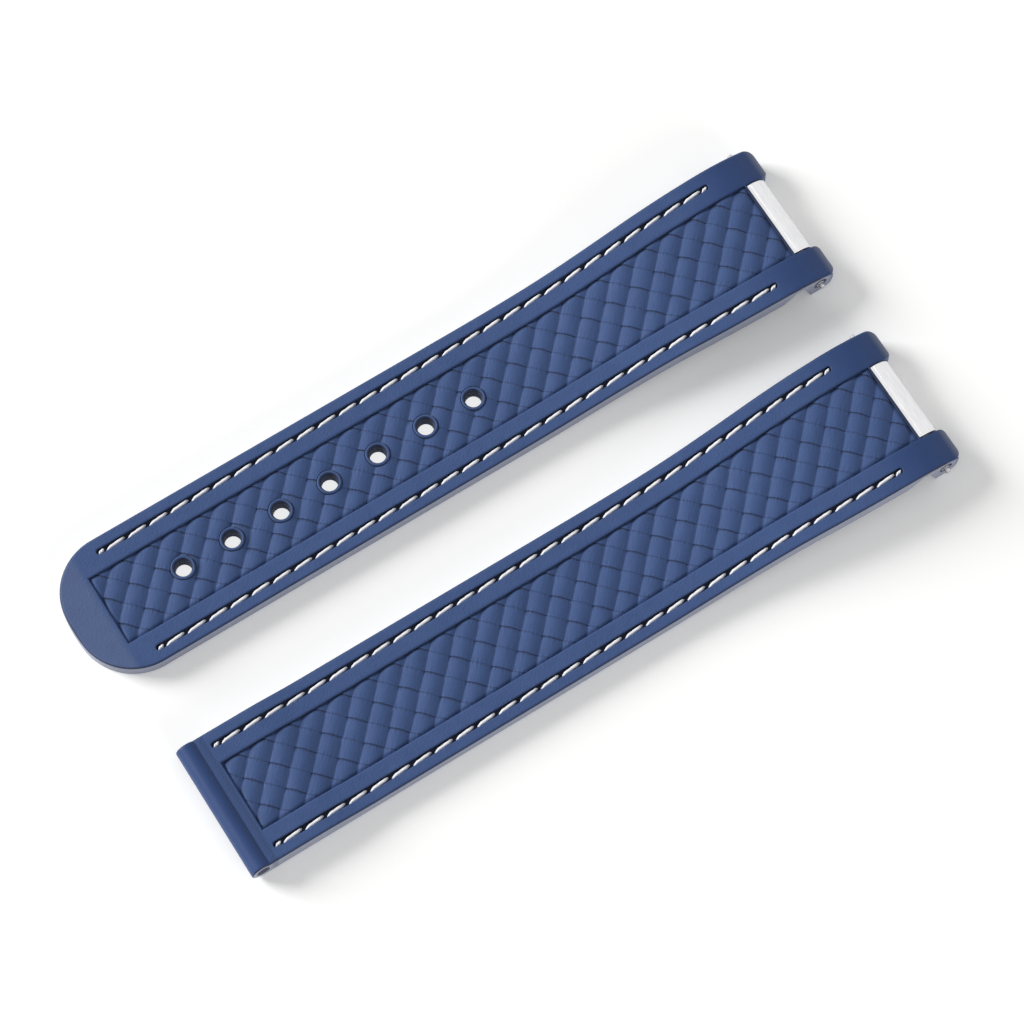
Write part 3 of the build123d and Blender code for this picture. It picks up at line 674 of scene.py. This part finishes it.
gap = put(tree, "ShaderNodeMath", {0: part.outputs[0], 1: 0.5}, operation="SUBTRACT")
gap = put(tree, "ShaderNodeMath", {0: gap.outputs[0]}, operation="ABSOLUTE")
depth = put(tree, "ShaderNodeMapRange", {"Value": odd.outputs[0], "To Min": 0.4, "To Max": 1.0})
side = put(tree, "ShaderNodeMath", {0: across}, operation="FRACT")
side = put(tree, "ShaderNodeMath", {0: side.outputs[0], 1: 0.5}, operation="SUBTRACT")
side = put(tree, "ShaderNodeMath", {0: side.outputs[0]}, operation="ABSOLUTE")
thin = put(tree, "ShaderNodeMath", {
    0: side.outputs[0], 1: -0.05, 2: gap.outputs[0],
}, operation="MULTIPLY_ADD")
slit = put(tree, "ShaderNodeMapRange", {
    "Value": thin.outputs[0], "From Min": 0.442, "From Max": 0.475,
}, interpolation_type="SMOOTHSTEP")
slit = put(tree, "ShaderNodeMath", {
    0: slit.outputs["Result"], 1: depth.outputs["Result"],
}, operation="MULTIPLY")
valley = put(tree, "ShaderNodeMapRange", {
    "Value": side.outputs[0], "From Min": 0.45, "From Max": 0.5,
}, interpolation_type="SMOOTHSTEP")
near_end = put(tree, "ShaderNodeMapRange", {
    "Value": gap.outputs[0], "From Min": 0.2, "From Max": 0.47, "To Min": 0.15, "To Max": 1.0,
})
lines = put(tree, "ShaderNodeCombineXYZ", {0: across, 1: along})
lines = put(tree, "ShaderNodeVectorMath", {
    0: lines.outputs[0], 1: (lines_a_band, breaks_a_cut, 1.0),
}, operation="MULTIPLY")
lines = put(tree, "ShaderNodeTexNoise", {"Vector": lines.outputs[0], "Scale": 1.0, "Detail": 3.0})
lines = put(tree, "ShaderNodeMath", {
    0: lines.outputs["Fac"], 1: near_end.outputs["Result"],
}, operation="MULTIPLY")
grain = put(tree, "ShaderNodeTexNoise", {"Vector": place, "Scale": pores_a_mm / mm, "Detail": 3.0})
grain = put(tree, "ShaderNodeMath", {0: grain.outputs["Fac"], 1: 0.35}, operation="MULTIPLY")
relief = put(tree, "ShaderNodeMath", {
    0: lines.outputs[0], 1: 0.95, 2: grain.outputs[0],
}, operation="MULTIPLY_ADD")
relief = put(tree, "ShaderNodeMath", {
    0: slit.outputs[0], 1: -1.0, 2: relief.outputs[0],
}, operation="MULTIPLY_ADD")
bump = put(tree, "ShaderNodeBump", {
    "Height": relief.outputs[0], "Strength": 0.8, "Distance": plait_depth * mm,
})
mottle = put(tree, "ShaderNodeTexNoise", {
    "Vector": place, "Scale": mottles_a_mm / mm, "Detail": 4.0, "Roughness": 0.6,
})
navy = put(tree, "ShaderNodeMix", {
    "Factor": mottle.outputs["Fac"], 6: linear("#2F4673"), 7: linear("#3C5482"),
}, data_type="RGBA")
dark = put(tree, "ShaderNodeMath", {0: valley.outputs["Result"], 1: 0.6}, operation="MULTIPLY")
dark = put(tree, "ShaderNodeMath", {0: slit.outputs[0], 1: dark.outputs[0]}, operation="MAXIMUM")
dark = put(tree, "ShaderNodeMath", {0: dark.outputs[0], 1: 0.75}, operation="MULTIPLY")
shade = put(tree, "ShaderNodeMix", {
    "Factor": dark.outputs[0], 6: navy.outputs[2], 7: linear("#1B2A50"),
}, data_type="RGBA")
shader = put(tree, "ShaderNodeBsdfPrincipled", {
    "Base Color": shade.outputs[2], "Roughness": 0.66, "IOR": 1.43,
    "Normal": bump.outputs["Normal"], "Specular IOR Level": 0.38,
    "Sheen Weight": 0.12, "Sheen Roughness": 0.5,
})
put(tree, "ShaderNodeOutputMaterial", {"Surface": shader.outputs[0]})

for name in seats:
    panel = weld(f"{name}_woven_panel", placed(panel_sheets(name), name), woven, 50)
    x, y, _ = strap_places(panel.data, name)
    bands = band_places(x, y, name)
    mark(panel.data, "across_bands", bands[0])
    mark(panel.data, "along_bands", bands[1])
    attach(panel, "straps")

# Hole rings: a raised lip round each adjustment hole that keeps the buckle's tongue from tearing it.
# One moulding with the strap, with a rounded top and a funnel down to the hole.
ring_foot = 0.68
ring_profile = np.array([
    [1.55, ring_foot], [1.55, 0.3], [1.54, 0.12], [1.51, 0.05], [1.46, 0.0], [1.39, -0.03], [1.31, -0.02],
    [1.25, 0.03], [1.2, 0.12], [1.16, 0.24], [1.12, 0.34], [1.07, 0.4], [1.052, 0.5], [1.052, ring_foot],
])
ring_shade_rs, ring_shades = [1.1, 1.2, 1.28, 1.48, 1.53], [0.97, 0.85, 0, 0, 0.7]
turn = np.linspace(0, 2 * math.pi, 73)
rings = []
for centre in hole_xs:
    ring_x = centre + ring_profile[:, :1] * np.cos(turn)
    ring_y = ring_profile[:, :1] * np.sin(turn)
    rings.append(sheet(ring_x, ring_y, face_height(ring_x, "hole") - ring_profile[:, 1:]))
    foot_x, foot_y = np.stack([ring_x[-1], ring_x[0]]), np.stack([ring_y[-1], ring_y[0]])
    rings.append(sheet(foot_x, foot_y, face_height(foot_x, "hole") - ring_foot))
rings = weld("hole_rings", placed(rings, "hole"), rubber)
x, y, _ = strap_places(rings.data, "hole")
# The funnel into each hole and the moat round the ring's foot are painted darker, as shade.
away = np.hypot(np.abs(x[:, None] - np.array(hole_xs)).min(1), y)
mark(rings.data, "painted_shade", np.interp(away, ring_shade_rs, ring_shades))
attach(rings, "straps")

# Stitches: white polyester thread of two plies, half a millimetre thick. Each stitch rises out of one
# needle hole, lies slanted in its groove and goes down the next, with a short lock stitch at each end.
stitch_count, stitch_length, stitch_pitch, stitch_lead = 29, 2.75, 3.0, 2.1
stitch_slant, stitch_shift, lock_length = math.radians(5), -0.12, 0.85
thread_r, ply_turns, ply_bulge, ply_lean = 0.24, 1.3, 0.06, 0.8
thread_wide, thread_tall, taper_share, taper_power = 0.95, 0.85, 0.35, 0.55
face_sink, face_dip, back_sink, back_dip = 0.29, 0.16, 0.26, 0.18
lock_inset, unevenness, uneven_turn = 0.2, 0.015, 12.9898


def stitch_row(name, side_sign, up):
    """Stitches as tubes on arched lines: two rounded plies twist along each, and its ends taper."""
    xs = -groove_start - stitch_lead - stitch_pitch * np.arange(stitch_count)
    lengths = np.full(xs.size, stitch_length)
    if up > 0:
        xs = np.concatenate([[-groove_start - lock_inset], xs, [-groove_end + lock_inset]])
        lengths = np.concatenate([[lock_length], lengths, [lock_length]])
    ys = side_sign * groove_middle(xs) + stitch_shift
    lean = side_sign * (groove_middle(xs + 0.5) - groove_middle(xs - 0.5))
    yaw = np.arctan(lean) + stitch_slant
    part, spin = np.linspace(-1, 1, 25), np.linspace(0, 2 * math.pi, 17)
    s, a = np.meshgrid(part, spin, indexing="ij")
    grow = thread_r * np.clip((1 - np.abs(s)) / taper_share, 0, 1) ** taper_power
    ply = 1 + ply_bulge * np.cos(2 * (a - ply_turns * math.pi * s))
    off, rise = grow * ply * np.cos(a) * thread_wide, grow * ply * np.sin(a) * thread_tall
    length = lengths[:, None, None] / 2
    forward = s[None] * length + ply_lean * off[None]
    uneven = unevenness * np.sin(xs * uneven_turn)[:, None, None]
    sideways = off[None] + uneven
    cosine, sine = np.cos(yaw)[:, None, None], np.sin(yaw)[:, None, None]
    x = xs[:, None, None] + forward * cosine - sideways * sine
    y = ys[:, None, None] + forward * sine + sideways * cosine
    if up > 0:
        base = face_height(x, name) - face_sink + uneven
        z = base + rise - face_dip * np.abs(s) ** 4
    else:
        base = back_height(x) + back_sink
        z = base - rise + back_dip * np.abs(s) ** 3
    points = np.stack([x, y, z], -1).reshape(-1, 3)
    cell = sheet(s, s, s)[1]
    faces = (cell[None] + s.size * np.arange(xs.size)[:, None, None]).reshape(-1, 4)
    return [(points, faces)]


# Polyester sewing thread, bonded and white: slightly glossy, IOR 1.6. Its fibres, 0.02 mm thick, are
# drawn at 0.1 mm. The eye sees the two plies as a slanting pattern along each stitch.
fibres_a_mm, fibre_depth = 9.0, 0.04
thread, tree = new_material("white_polyester_thread")
place = put(tree, "ShaderNodeTexCoord").outputs["Object"]
fibre = put(tree, "ShaderNodeTexNoise", {"Vector": place, "Scale": fibres_a_mm / mm, "Detail": 2.0})
bump = put(tree, "ShaderNodeBump", {
    "Height": fibre.outputs["Fac"], "Strength": 0.25, "Distance": fibre_depth * mm,
})
pale = put(tree, "ShaderNodeMix", {
    "Factor": fibre.outputs["Fac"], 6: linear("#DEDEE2"), 7: linear("#F6F6F8"),
}, data_type="RGBA")
shader = put(tree, "ShaderNodeBsdfPrincipled", {
    "Base Color": pale.outputs[2], "Roughness": 0.6, "IOR": 1.6,
    "Normal": bump.outputs["Normal"], "Sheen Weight": 0.2,
})
put(tree, "ShaderNodeOutputMaterial", {"Surface": shader.outputs[0]})

for name in seats:
    for end, side_sign in (("left", 1), ("right", -1)):
        for face_name, up in (("face", 1), ("back", -1)):
            stitches = placed(stitch_row(name, side_sign, up), name)
            row = weld(f"{name}_{face_name}_thread_{end}", stitches, thread, 60)
            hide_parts(f"{name}_{face_name}_stitches_{end}")
            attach(row, "straps")

# End links: a block of stainless steel between the horns that closes the gap to the watch case. It is
# milled and brushed, has a fine step behind its round front, and the spring bar runs through it.
link_half, link_top, link_foot, link_front = 5.45, 3.9, 0.5, 2.75
link_round, link_lines = 0.15, 9


def link_sheets():
    """The link's side profile carried across it, with rounded end edges, flat ends and a round bore."""
    turn = np.linspace(0, math.pi / 2, 22)
    crown_x = 0.5 + (link_front - 0.5) * np.sin(turn)
    crown = np.stack([crown_x, bar_z + (link_top - bar_z) * np.cos(turn)], 1)
    belly_x = bar_x + (link_front - bar_x) * np.cos(turn[1:])
    belly = np.stack([belly_x, bar_z - (bar_z - link_foot) * np.sin(turn[1:])], 1)
    back = np.array([
        [0.3, link_foot], [0.12, 0.58], [0, 0.8], [0, 1.8], [0, 2.8], [0, 3.85],
        [0.05, link_top], [0.2, link_top], [0.4, link_top], [0.44, 3.87], [0.48, 3.88],
    ])
    loop = np.concatenate([back, crown, belly, back[:1]])
    inset = np.array([0, 0.03, 0.08, link_round])
    drop = edge_drop(inset, link_round)[:, None]
    centre = np.array([1.2, 2.3])
    away = loop - centre
    away = away / np.linalg.norm(away, axis=1)[:, None]
    pieces = []
    between = np.linspace(link_half - 0.6, -link_half + 0.6, link_lines)
    lines_y = np.concatenate([link_half - inset, between, -link_half + inset[::-1]])
    drops = np.concatenate([drop, np.zeros((link_lines, 1)), drop[::-1]])
    x, z = loop[:, 0] - away[:, 0] * drops, loop[:, 1] - away[:, 1] * drops
    pieces.append(sheet(x, np.repeat(lines_y[:, None], len(loop), 1), z))
    for line, side in ((0, link_half), (-1, -link_half)):
        rim = np.stack([x[line], z[line]], 1)
        circle = facing(rim, np.array([bar_x, bar_z]), bar_bore)
        disc = spokes(circle, rim, [0, 0.1, 0.5, 1])
        pieces.append(sheet(disc[..., 0], np.full(disc.shape[:2], side), disc[..., 1]))
        pieces.append(bore_wall(circle, side, 0.0))
    return pieces


# Stainless steel, brushed along the link's long side with a fine belt: metallic, roughness 0.3 to 0.5.
# The real lines are about 0.05 mm apart, and are drawn at 0.14 mm so that they show. The eye sees satin.
brush_lines_a_mm, line_breaks_a_mm, line_depth = 7.0, 0.5, 0.03
link_steel, tree = new_material("brushed_stainless_steel")
place = put(tree, "ShaderNodeTexCoord").outputs["Object"]
lines = put(tree, "ShaderNodeVectorMath", {
    0: place, 1: (brush_lines_a_mm / mm, line_breaks_a_mm / mm, brush_lines_a_mm / mm),
}, operation="MULTIPLY")
lines = put(tree, "ShaderNodeTexNoise", {"Vector": lines.outputs[0], "Scale": 1.0, "Detail": 3.0})
bump = put(tree, "ShaderNodeBump", {
    "Height": lines.outputs["Fac"], "Strength": 0.35, "Distance": line_depth * mm,
})
rough = put(tree, "ShaderNodeMapRange", {"Value": lines.outputs["Fac"], "To Min": 0.3, "To Max": 0.5})
steel = put(tree, "ShaderNodeMix", {
    "Factor": lines.outputs["Fac"], 6: linear("#D2D2D4"), 7: linear("#F6F6F7"),
}, data_type="RGBA")
shader = put(tree, "ShaderNodeBsdfPrincipled", {
    "Base Color": steel.outputs[2], "Metallic": 1.0,
    "Roughness": rough.outputs["Result"], "Normal": bump.outputs["Normal"],
})
put(tree, "ShaderNodeOutputMaterial", {"Surface": shader.outputs[0]})

for name in seats:
    link = weld(f"{name}_link_block", placed(link_sheets(), name), link_steel, 30)
    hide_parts(f"{name}_end_link")
    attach(link, "straps")

# Spring bars: a rolled stainless tube with a sprung, turned tip in each end. The CAD shapes are right,
# so they stay and get the look of turned steel, with tool marks round the bar drawn at 0.08 mm.
marks_a_mm, mark_breaks_a_mm, mark_depth = 12.0, 0.3, 0.02
turned, tree = new_material("turned_stainless_steel")
place = put(tree, "ShaderNodeTexCoord").outputs["Object"]
marks = put(tree, "ShaderNodeVectorMath", {
    0: place, 1: (mark_breaks_a_mm / mm, marks_a_mm / mm, mark_breaks_a_mm / mm),
}, operation="MULTIPLY")
marks = put(tree, "ShaderNodeTexNoise", {"Vector": marks.outputs[0], "Scale": 1.0, "Detail": 2.0})
bump = put(tree, "ShaderNodeBump", {
    "Height": marks.outputs["Fac"], "Strength": 0.2, "Distance": mark_depth * mm,
})
rough = put(tree, "ShaderNodeMapRange", {"Value": marks.outputs["Fac"], "To Min": 0.18, "To Max": 0.34})
shader = put(tree, "ShaderNodeBsdfPrincipled", {
    "Base Color": linear("#C9C9CC"), "Metallic": 1.0,
    "Roughness": rough.outputs["Result"], "Normal": bump.outputs["Normal"],
})
put(tree, "ShaderNodeOutputMaterial", {"Surface": shader.outputs[0]})
for node_name, node_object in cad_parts.items():
    if "_bar_" in node_name:
        node_object.data.materials.clear()
        node_object.data.materials.append(turned)

# Coil springs: hard stainless wire, 0.2 mm thick, wound in seven turns inside each tube, where it pushes
# both tips out. A spring is drawn as two halves that meet at its middle. In the real coil each half
# shortens when its own tip is pressed in by 0.9 mm. They turn with the tube.
wire_r, coil_r, coil_half = 0.1, 0.48, 5.53
turns_a_half, steps_a_turn, wire_sides, tip_travel = 3.5, 32, 12, 0.9


def half_spring(name, side):
    """Round wire along a helix: a circle square to the wire turns about the bar as it goes out."""
    sweep = turns_a_half * 2 * math.pi
    lead = math.atan2(coil_half, sweep * coil_r)
    share = np.linspace(0, 1, int(turns_a_half * steps_a_turn) + 1)
    share = np.concatenate([[0], share, [1]])
    thick = np.full(share.size, wire_r)
    thick[[0, -1]] = 0
    spin = np.linspace(0, 2 * math.pi, wire_sides + 1)
    turn, around = np.meshgrid(side * share * sweep, spin, indexing="ij")
    reach, rise = coil_r + thick[:, None] * np.cos(around), thick[:, None] * np.sin(around)
    x = bar_x + reach * np.sin(turn) - rise * math.sin(lead) * np.cos(turn)
    y = side * share[:, None] * coil_half + rise * math.cos(lead)
    z = bar_z + reach * np.cos(turn) + rise * math.sin(lead) * np.sin(turn)
    return placed([sheet(x, y, z)], name)


# Drawn stainless wire: metallic, roughness 0.24 to 0.4, with faint marks of the die drawn at 0.1 mm. The
# tubes hide it, and if one were cut open the eye would see a greyer, duller metal than the tube's.
die_marks_a_mm, die_mark_depth = 9.0, 0.02
wire, tree = new_material("hard_drawn_spring_wire")
place = put(tree, "ShaderNodeTexCoord").outputs["Object"]
drawn = put(tree, "ShaderNodeTexNoise", {"Vector": place, "Scale": die_marks_a_mm / mm, "Detail": 2.0})
bump = put(tree, "ShaderNodeBump", {
    "Height": drawn.outputs["Fac"], "Strength": 0.15, "Distance": die_mark_depth * mm,
})
rough = put(tree, "ShaderNodeMapRange", {"Value": drawn.outputs["Fac"], "To Min": 0.24, "To Max": 0.4})
shader = put(tree, "ShaderNodeBsdfPrincipled", {
    "Base Color": linear("#B9BABD"), "Metallic": 1.0,
    "Roughness": rough.outputs["Result"], "Normal": bump.outputs["Normal"],
})
put(tree, "ShaderNodeOutputMaterial", {"Surface": shader.outputs[0]})

for name in seats:
    for end, side in (("left", 1), ("right", -1)):
        coil = weld(f"{name}_half_spring_{end}", half_spring(name, side), wire, 50)
        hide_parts(f"{name}_bar_spring")
        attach(coil, f"{name}_bar")
        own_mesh(coil)

# Photographer's table, lamps and camera: a white table that keeps a soft shadow, with a narrow strip
# under the holes that glows brighter, painted light, so that the holes show white. One broad lamp stands
# at the far left and a low fill in front, and a long lens looks down from above the clasp strap's side.
floor_mesh = bpy.data.meshes.new("table")
table_half, strip_end, strip_half = 3, 2, 1.4
corners = [(-table_half, -table_half, 0), (table_half, -table_half, 0)]
corners += [(table_half, table_half, 0), (-table_half, table_half, 0)]
strip_xs = np.array([hole_xs[-1] - strip_end, hole_xs[0] + strip_end])
near_x, far_x = ((seats["hole"][0] + strip_xs) * mm).tolist()
near_y, far_y = (seats["hole"][1] - strip_half) * mm, (seats["hole"][1] + strip_half) * mm
corners += [(near_x, near_y, 0), (far_x, near_y, 0), (far_x, far_y, 0), (near_x, far_y, 0)]
floor_mesh.from_pydata(corners, [], [(4, 5, 6, 7), (0, 1, 5, 4), (1, 2, 6, 5), (2, 3, 7, 6), (3, 0, 4, 7)])
table = bpy.data.objects.new("table", floor_mesh)
bpy.context.scene.collection.objects.link(table)
# The strip under the holes glows brighter than the table: painted light that shows through the holes.
for finish, strength in (("white_table", 0.19), ("painted_light_strip", 0.74)):
    white, tree = new_material(finish)
    rays = put(tree, "ShaderNodeLightPath")
    seen = put(tree, "ShaderNodeMath", {
        0: rays.outputs["Is Camera Ray"], 1: rays.outputs["Is Glossy Ray"],
    }, operation="MAXIMUM")
    seen = put(tree, "ShaderNodeMath", {
        0: seen.outputs[0], 1: rays.outputs["Is Transmission Ray"],
    }, operation="MAXIMUM")
    matt = put(tree, "ShaderNodeBsdfDiffuse", {"Color": linear("#F6F6F5")})
    glow = put(tree, "ShaderNodeEmission", {"Color": (1, 1, 1, 1), "Strength": strength})
    both = put(tree, "ShaderNodeAddShader", {0: matt.outputs[0], 1: glow.outputs[0]})
    mix = put(tree, "ShaderNodeMixShader", {0: seen.outputs[0], 1: matt.outputs[0], 2: both.outputs[0]})
    put(tree, "ShaderNodeOutputMaterial", {"Surface": mix.outputs[0]})
    floor_mesh.materials.append(white)
floor_mesh.polygons[0].material_index = 1

world = bpy.data.worlds.new("studio")
bpy.context.scene.world = world
world.use_nodes = True
tree = world.node_tree
tree.nodes.clear()
rays = put(tree, "ShaderNodeLightPath")
soft = put(tree, "ShaderNodeBackground", {"Color": (1, 1, 1, 1), "Strength": 0.35})
plain = put(tree, "ShaderNodeBackground", {"Color": (1, 1, 1, 1), "Strength": 1.0})
seen = put(tree, "ShaderNodeMath", {
    0: rays.outputs["Is Camera Ray"], 1: rays.outputs["Is Glossy Ray"],
}, operation="MAXIMUM")
mix = put(tree, "ShaderNodeMixShader", {0: seen.outputs[0], 1: soft.outputs[0], 2: plain.outputs[0]})
put(tree, "ShaderNodeOutputWorld", {"Surface": mix.outputs[0]})


def lamp(name, place, aim, width, watts):
    """A square lamp at a place, turned to its aim."""
    light = bpy.data.lights.new(name, "AREA")
    light.size, light.energy = width, watts
    holder = bpy.data.objects.new(name, light)
    holder.location = place
    from_to = np.array(aim) - np.array(place)
    yaw = math.atan2(from_to[1], from_to[0])
    fall = math.atan2(-from_to[2], math.hypot(from_to[0], from_to[1]))
    holder.rotation_euler = (math.pi / 2 - fall, 0, yaw - math.pi / 2)
    bpy.context.scene.collection.objects.link(holder)


lamp("broad_lamp", (-1.82, 2.18, 1.14), (0, 0, 0), 1.35, 129.0)
lamp("low_fill", (0.3, -2.2, 0.62), (0, 0, 0), 1.2, 20.0)

camera = bpy.data.cameras.new("camera")
camera.lens, camera.sensor_width = 129.7, 36
holder = bpy.data.objects.new("camera", camera)
bpy.context.scene.collection.objects.link(holder)
azimuth, elevation, distance = math.radians(-32.1), math.radians(70.33), 0.4504
aim = np.array([0.00091, -0.00091, 0.0022])
level = math.cos(elevation)
away = np.array([math.sin(azimuth) * level, -math.cos(azimuth) * level, math.sin(elevation)])
holder.location = (aim + away * distance).tolist()
holder.rotation_euler = (math.pi / 2 - elevation, 0, azimuth)
bpy.context.scene.camera = holder
bpy.context.scene.view_settings.view_transform = "Standard"
